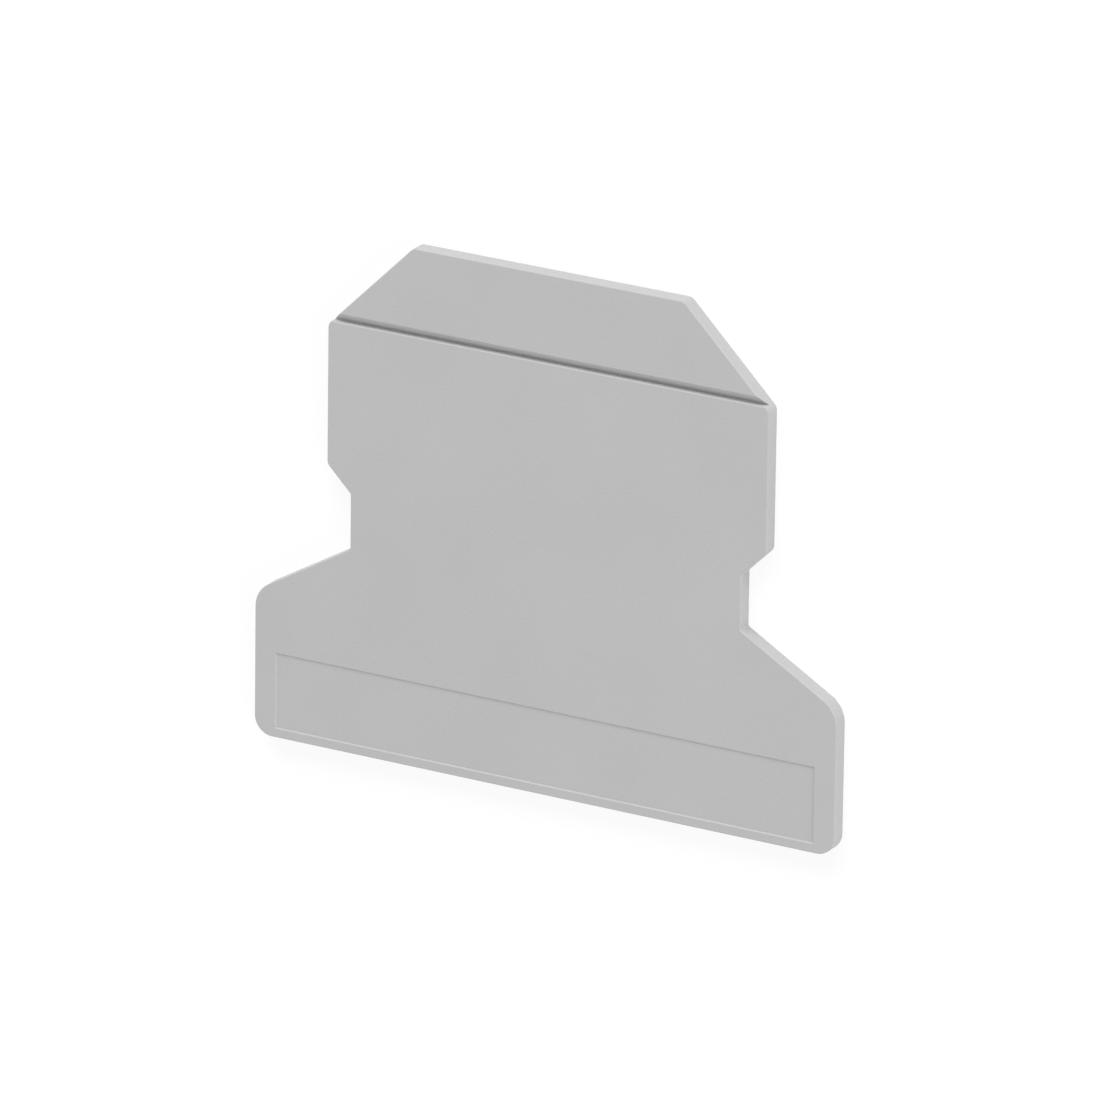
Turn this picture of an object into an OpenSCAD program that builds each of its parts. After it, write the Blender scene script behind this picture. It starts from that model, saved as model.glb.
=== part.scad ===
// Partition plate for a row of rail-mounted terminal blocks.
// One moulded plate, lying on its back with the marked face up and its foot towards -Y.

/* [Plate] */
// Thickness of the plate
plate_t = 1.5; // [1:0.1:4]
// Radius along the rims of both faces
rim_r = 0.1; // [0.05:0.01:0.3]

/* [Foot] */
// Width across the foot
foot_w = 56; // [48:0.5:80]
// Height of the foot's upright ends
foot_end_h = 13; // [10:0.5:24]
// Radius of the foot's lower corners
foot_r = 1.7; // [0.5:0.1:4]

/* [Shoulders] */
// Height that the shoulders climb from the foot's ends to the neck
shoulder_h = 5.4; // [3:0.1:12]
// Radius where the foot's ends turn into the shoulders
shoulder_r = 2.5; // [0.5:0.1:3]

/* [Neck] */
// Depth of the neck's notch in each side, below the head
notch_d = 2.3; // [1:0.1:4]
// Height of the neck's upright sides
neck_h = 5; // [2:0.1:10]
// Radius of the neck's inner corners
inner_r = 0.3; // [0.25:0.05:0.6]

/* [Head] */
// Width across the head
head_w = 42.1; // [36:0.1:46]
// Height of the head's upright sides
head_side_h = 12.5; // [6:0.1:24]
// Leg of the 45-degree cuts that take off the top corners
top_cut = 8.15; // [3:0.05:14]
// Radius of the head's corners
head_r = 0.8; // [0.4:0.1:1.5]

/* [Snap groove] */
// Width of the groove, from its upright wall on the body's side to the end of its slope on the head's
groove_w = 0.8; // [0.4:0.05:1.2]
// Width of the groove's root, where the head's top breaks off
groove_root_w = 0.05; // [0.02:0.01:0.3]
// Depth of the groove
groove_d = 0.65; // [0.2:0.05:0.9]
// Bevel that breaks the edge of the upright wall
groove_bevel = 0.06; // [0.03:0.01:0.2]
// Height of the groove's middle above the head's upright sides
groove_rise = 0.7; // [0.5:0.05:2]

/* [Marking field] */
// Gap between the field and the foot's ends
field_end_gap = 2; // [1:0.1:6]
// Gap between the field and the foot's lower edge
field_foot_gap = 0.8; // [0.5:0.1:3]
// Height of the field
field_h = 6.9; // [4:0.1:9]
// Depth of the field below the face
field_d = 0.1; // [0.05:0.01:0.6]
// Run of the field's sloping walls
field_slope = 0.1; // [0.05:0.01:0.5]

/* [Hidden] */
$fn = 96;

// How far a cutting shape reaches past the face that it cuts
past = 0.15;
// Angle by which the rim of an inner corner runs on along the edges beside it
run_on = 20;
// Step by which curves that would only touch are made to cross
lap = 0.0002;
// Steps that each rim stays short of its full cut: an inner corner cuts deepest, an outer one least
inner_laps = 1;
edge_laps = 3;
outer_laps = 5;

// Heights of the outline's corners above the foot's lower edge
neck_low_h = foot_end_h + shoulder_h;
neck_top_h = neck_low_h + neck_h;
head_low_h = neck_top_h + notch_d;
head_top_h = head_low_h + head_side_h;
plate_h = head_top_h + top_cut;
foot_y = -plate_h / 2;

// Width of the marking field
field_w = foot_w - 2 * field_end_gap;

// Corners up the right side and down the left: place across, place along and radius
right_side = [
    [foot_w / 2, foot_y, foot_r],
    [foot_w / 2, foot_y + foot_end_h, shoulder_r],
    [head_w / 2 - notch_d, foot_y + neck_low_h, inner_r],
    [head_w / 2 - notch_d, foot_y + neck_top_h, inner_r],
    [head_w / 2, foot_y + head_low_h, head_r],
    [head_w / 2, foot_y + head_top_h, head_r],
    [head_w / 2 - top_cut, foot_y + plate_h, head_r],
];
left_side = [for (i = [len(right_side) - 1 : -1 : 0]) let (c = right_side[i]) [-c[0], c[1], c[2]]];
corners = concat(right_side, left_side);
count = len(corners);

// A corner's place and radius, the direction of the edge after it, and the turn that it makes
function corner(i) = corners[(i + count) % count];
function spot(i) = [corner(i)[0], corner(i)[1]];
function radius(i) = corner(i)[2];
function heading(i) = (spot(i + 1) - spot(i)) / norm(spot(i + 1) - spot(i));
function turn(i) = atan2(cross(heading(i - 1), heading(i)), heading(i - 1) * heading(i));
function is_outer(i) = turn(i) > 0;

// The arc that rounds a corner: its two ends, its centre and the angle at which it starts
function trim(i) = radius(i) * tan(abs(turn(i)) / 2);
function arc_start(i) = spot(i) - trim(i) * heading(i - 1);
function arc_end(i) = spot(i) + trim(i) * heading(i);
function inwards(i) = [-heading(i)[1], heading(i)[0]];
function arc_centre(i) = arc_start(i) + sign(turn(i)) * radius(i) * inwards(i - 1);
function angle_of(v) = atan2(v[1], v[0]);
function arc_from(i) = angle_of(arc_start(i) - arc_centre(i));

// Rounds at the outer corners, or at the inner ones
module corner_discs(outer) {
    for (i = [0 : count - 1])
        if (is_outer(i) == outer)
            translate(arc_centre(i))
                circle(radius(i) + lap);
}

module outline() {
    difference() {
        union() {
            polygon([for (i = [0 : count - 1]) each [arc_start(i), arc_end(i)]]);
            corner_discs(outer = true);
        }
        corner_discs(outer = false);
    }
}

// What a rim loses, seen along it: x runs inwards from the edge, y is the height
module rim_section(laps) {
    difference() {
        translate([-past, plate_t - rim_r])
            square(rim_r + past);
        translate([rim_r, plate_t - rim_r])
            circle(rim_r + laps * lap);
    }
}

// The rim along the straight edge after a corner, which runs on into an outer corner at either end
module straight_rim(i) {
    before = is_outer(i) ? past : 0;
    after = is_outer(i + 1) ? past : 0;
    translate(arc_end(i) - before * heading(i))
        rotate([90, 0, 90 + angle_of(heading(i))])
            linear_extrude(norm(arc_start(i + 1) - arc_end(i)) + before + after)
                rim_section(edge_laps);
}

// The rim round a corner, where an inner one runs on into the edges beside it
module corner_rim(i) {
    more = is_outer(i) ? 0 : run_on;
    translate(arc_centre(i))
        rotate(arc_from(i) - sign(turn(i)) * more)
            rotate_extrude(angle = turn(i) + 2 * sign(turn(i)) * more)
                translate([radius(i), 0])
                    mirror([is_outer(i) ? 1 : 0, 0])
                        rim_section(is_outer(i) ? outer_laps : inner_laps);
}

// What rounding takes off the rim of the marked face
module rim_cut() {
    for (i = [0 : count - 1]) {
        straight_rim(i);
        corner_rim(i);
    }
}

// A drafted channel along X, sunk below height 0
module channel(width, floor_width, depth, length) {
    flare = (width - floor_width) / 2 / depth * past;
    rotate([90, 0, 90])
        linear_extrude(length, center = true)
            polygon([
                [-floor_width / 2, -depth],
                [floor_width / 2, -depth],
                [width / 2 + flare, past],
                [-width / 2 - flare, past],
            ]);
}

// Line across the head along which its top can be snapped off, with an upright wall below and a slope above
module snap_groove() {
    wall = -groove_w / 2;
    flare = (groove_w - groove_root_w) / groove_d * past;
    translate([0, foot_y + head_top_h + groove_rise, plate_t])
        rotate([90, 0, 90])
            linear_extrude(head_w + 2 * past, center = true)
                polygon([
                    [wall - groove_bevel - past, past],
                    [wall, -groove_bevel],
                    [wall, -groove_d],
                    [wall + groove_root_w, -groove_d],
                    [groove_w / 2 + flare, past],
                ]);
}

// Shallow panel along the foot, with all four walls sloping
module marking_field() {
    translate([0, foot_y + field_foot_gap + field_h / 2, plate_t])
        intersection() {
            channel(field_h, field_h - 2 * field_slope, field_d, foot_w);
            rotate(90)
                channel(field_w, field_w - 2 * field_slope, field_d, foot_w);
        }
}

module partition_plate() {
    color("silver")
        difference() {
            linear_extrude(plate_t) outline();
            rim_cut();
            translate([0, 0, plate_t])
                mirror([0, 0, 1])
                    rim_cut();
            snap_groove();
            marking_field();
        }
}

partition_plate();
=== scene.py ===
from math import cos, pi, radians, sin

import bpy
from mathutils import Matrix, Vector


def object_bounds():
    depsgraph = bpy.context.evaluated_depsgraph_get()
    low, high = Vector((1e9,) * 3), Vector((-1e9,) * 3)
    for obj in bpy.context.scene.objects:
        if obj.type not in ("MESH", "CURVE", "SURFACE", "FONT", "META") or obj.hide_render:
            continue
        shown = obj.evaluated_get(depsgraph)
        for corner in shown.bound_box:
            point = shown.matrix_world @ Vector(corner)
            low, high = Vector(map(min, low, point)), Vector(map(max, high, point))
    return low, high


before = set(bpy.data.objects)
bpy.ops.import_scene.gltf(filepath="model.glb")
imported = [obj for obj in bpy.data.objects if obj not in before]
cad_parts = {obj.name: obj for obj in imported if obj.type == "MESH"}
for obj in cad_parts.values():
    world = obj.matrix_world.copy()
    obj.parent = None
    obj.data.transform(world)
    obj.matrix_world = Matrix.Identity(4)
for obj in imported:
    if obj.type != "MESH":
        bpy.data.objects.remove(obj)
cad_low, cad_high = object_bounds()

# The partition plate: one injection moulding in light grey polyamide, 1.5 mm thick.
# The mould is spark-eroded, which leaves a fine satin grain on every face, and the melt's flow
# leaves faint clouds in the grey. It lies on its back, with the snap groove and marking field up.
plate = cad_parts["partition_plate"]
polyamide_grey = (0.49, 0.49, 0.49, 1)
polyamide_ior = 1.53
# Lumps of the clouds, of the pigment's speckle and of the grain, and the grain's depth, in metres
cloud_size = 0.011
speckle_size = 0.00022
grain_size = 0.00012
grain_depth = 0.00002
# How far the grey goes up and down with the clouds and the speckle
cloud_tone = 0.08
speckle_tone = 0.04
# Roughness of the satin skin, and how far it goes up and down with the clouds
satin = 0.7
satin_change = 0.12


class Flow:
    """A socket in a shader's tree. Arithmetic on it adds Math nodes, and make() adds any other node."""

    def __init__(self, tree, socket=None):
        self.tree = tree
        self.socket = socket

    def make(self, kind, settings, sockets, out=0):
        node = self.tree.nodes.new(kind)
        for name, value in settings.items():
            setattr(node, name, value)
        for name, value in sockets.items():
            if isinstance(value, Flow):
                self.tree.links.new(value.socket, node.inputs[name])
            else:
                node.inputs[name].default_value = value
        return Flow(self.tree, node.outputs[out] if node.outputs else None)

    def maths(self, operation, first, second):
        return self.make("ShaderNodeMath", {"operation": operation}, {0: first, 1: second})

    def __add__(self, other):
        return self.maths("ADD", self, other)

    def __radd__(self, other):
        return self.maths("ADD", other, self)

    def __sub__(self, other):
        return self.maths("SUBTRACT", self, other)

    def __rsub__(self, other):
        return self.maths("SUBTRACT", other, self)

    def __mul__(self, other):
        return self.maths("MULTIPLY", self, other)

    def __rmul__(self, other):
        return self.maths("MULTIPLY", other, self)


def new_material(name):
    material = bpy.data.materials.new(name)
    material.use_nodes = True
    material.node_tree.nodes.clear()
    return material, Flow(material.node_tree)


def noise(flow, place, size, detail):
    """Soft noise between -0.5 and 0.5, with lumps of the given size in metres."""
    settings = {"noise_dimensions": "3D"}
    lumps = flow.make("ShaderNodeTexNoise", settings, {"Vector": place, "Scale": 1 / size, "Detail": detail})
    return lumps - 0.5


grey_polyamide, flow = new_material("grey_polyamide")
place = flow.make("ShaderNodeTexCoord", {}, {}, out="Object")
clouds = noise(flow, place, size=cloud_size, detail=2.0)
speckle = noise(flow, place, size=speckle_size, detail=1.0)
grain = noise(flow, place, size=grain_size, detail=2.0)
tone = 1 + cloud_tone * clouds + speckle_tone * speckle
# Where a Mix node has its two colours, and where it gives the mixed one
colour_a, colour_b, colour_mixed = 6, 7, 2
grey = flow.make(
    "ShaderNodeMix",
    {"data_type": "RGBA", "blend_type": "MULTIPLY"},
    {"Factor": 1.0, colour_a: polyamide_grey, colour_b: tone},
    out=colour_mixed,
)
bumps = flow.make("ShaderNodeBump", {}, {"Strength": 1.0, "Distance": grain_depth, "Height": grain})
skin = flow.make(
    "ShaderNodeBsdfPrincipled",
    {},
    {"Base Color": grey, "Roughness": satin + satin_change * clouds, "IOR": polyamide_ior, "Normal": bumps},
)
flow.make("ShaderNodeOutputMaterial", {}, {"Surface": skin})
plate.data.materials.clear()
plate.data.materials.append(grey_polyamide)

# The table: a broad white sheet under the plate. To the camera it is white all over,
# apart from the plate's soft shadow, and it throws its light back up at the plate's edges.
floor_reach = 3.0
white = (1, 1, 1, 1)
sheet_white = (0.85, 0.85, 0.85, 1)
# The light in the room brings a full white sheet to this share of white in the picture
floor_light = 0.9
# The sheet that is seen reflects this share of that light, where the shadow shows, and glows with the rest
shadow_share = 0.2
floor_mesh = bpy.data.meshes.new("floor")
floor_corners = [(x * floor_reach, y * floor_reach, 0) for x, y in ((-1, -1), (1, -1), (1, 1), (-1, 1))]
floor_mesh.from_pydata(floor_corners, [], [(0, 1, 2, 3)])
floor = bpy.data.objects.new("floor", floor_mesh)
bpy.context.scene.collection.objects.link(floor)


def seen(flow):
    """1 on rays that show the background: from the camera, in a gloss or through glass."""
    straight = flow.make("ShaderNodeLightPath", {}, {}, out="Is Camera Ray")
    glossy = flow.make("ShaderNodeLightPath", {}, {}, out="Is Glossy Ray")
    through = flow.make("ShaderNodeLightPath", {}, {}, out="Is Transmission Ray")
    return straight + glossy + through


white_sheet, flow = new_material("white_sheet")
sheet = flow.make("ShaderNodeBsdfDiffuse", {}, {"Color": sheet_white})
dim_sheet = flow.make("ShaderNodeBsdfDiffuse", {}, {"Color": (shadow_share,) * 3 + (1,)})
glow = flow.make("ShaderNodeEmission", {}, {"Color": white, "Strength": 1 - shadow_share * floor_light})
shown_sheet = flow.make("ShaderNodeAddShader", {}, {0: dim_sheet, 1: glow})
both = flow.make("ShaderNodeMixShader", {}, {0: seen(flow), 1: sheet, 2: shown_sheet})
flow.make("ShaderNodeOutputMaterial", {}, {"Surface": both})
floor_mesh.materials.append(white_sheet)

# The light: an even white room, with a softbox low beyond the head and a weaker one at the right,
# so that the head's edges are lighter than the face and the groove stays dark.
room_light = 0.585
softbox_reach = 1.5
world = bpy.data.worlds.new("white_room")
bpy.context.scene.world = world
world.use_nodes = True
world.node_tree.nodes.clear()
flow = Flow(world.node_tree)
room_shown = room_light + (1 - room_light) * seen(flow)
backdrop = flow.make("ShaderNodeBackground", {}, {"Color": white, "Strength": room_shown})
flow.make("ShaderNodeOutputWorld", {}, {"Surface": backdrop})


def softbox(name, towards, rise, width, height, share):
    """A lamp that by itself brings a white surface turned to it to the given share of full white."""
    lamp = bpy.data.lights.new(name, "AREA")
    lamp.shape = "RECTANGLE"
    lamp.size = width
    lamp.size_y = height
    lamp.energy = share * pi**2 * softbox_reach**2
    across, above = cos(radians(rise)), sin(radians(rise))
    direction = Vector((across * cos(radians(towards)), across * sin(radians(towards)), above))
    box = bpy.data.objects.new(name, lamp)
    box.location = direction * softbox_reach
    box.rotation_mode = "QUATERNION"
    box.rotation_quaternion = direction.to_track_quat("Z", "Y")
    bpy.context.scene.collection.objects.link(box)


softbox("head_softbox", towards=95, rise=25, width=1.6, height=0.8, share=0.79)
softbox("right_softbox", towards=-20, rise=20, width=1.2, height=0.8, share=0.41)

# The camera: a long lens that looks down on the plate from beyond its head's right corner,
# turned so that the head is at the top of the picture.
view_turn, view_tilt, view_roll = radians(29.03), radians(20.29), radians(0.761)
view_distance = 1.174
nearest_shown, farthest_shown = 0.01, 20
sensor_width = 36
# The picture's side, its scale at the plate, and where it has the middle of the plate's face
picture_px = 1100
px_per_metre = 11950
middle_px = Vector((544.44, 536.54))
back = Vector((sin(view_turn) * cos(view_tilt), sin(view_tilt), cos(view_turn) * cos(view_tilt)))
level = Vector((cos(view_turn), 0, -sin(view_turn)))
upright = back.cross(level)
right = cos(view_roll) * level + sin(view_roll) * upright
up = cos(view_roll) * upright - sin(view_roll) * level
face_middle = Vector((0, 0, cad_high.z))
aim_px = Vector((picture_px / 2 - middle_px.x, middle_px.y - picture_px / 2))
aim = face_middle + (right * aim_px.x + up * aim_px.y) / px_per_metre
camera_data = bpy.data.cameras.new("camera")
camera_data.sensor_width = sensor_width
camera_data.lens = sensor_width * view_distance * px_per_metre / picture_px
camera_data.clip_start = nearest_shown
camera_data.clip_end = farthest_shown
camera = bpy.data.objects.new("camera", camera_data)
facing = Matrix((right, up, back)).transposed().to_4x4()
camera.matrix_world = Matrix.Translation(aim + back * view_distance) @ facing
bpy.context.scene.collection.objects.link(camera)
bpy.context.scene.camera = camera
bpy.context.scene.view_settings.view_transform = "Standard"
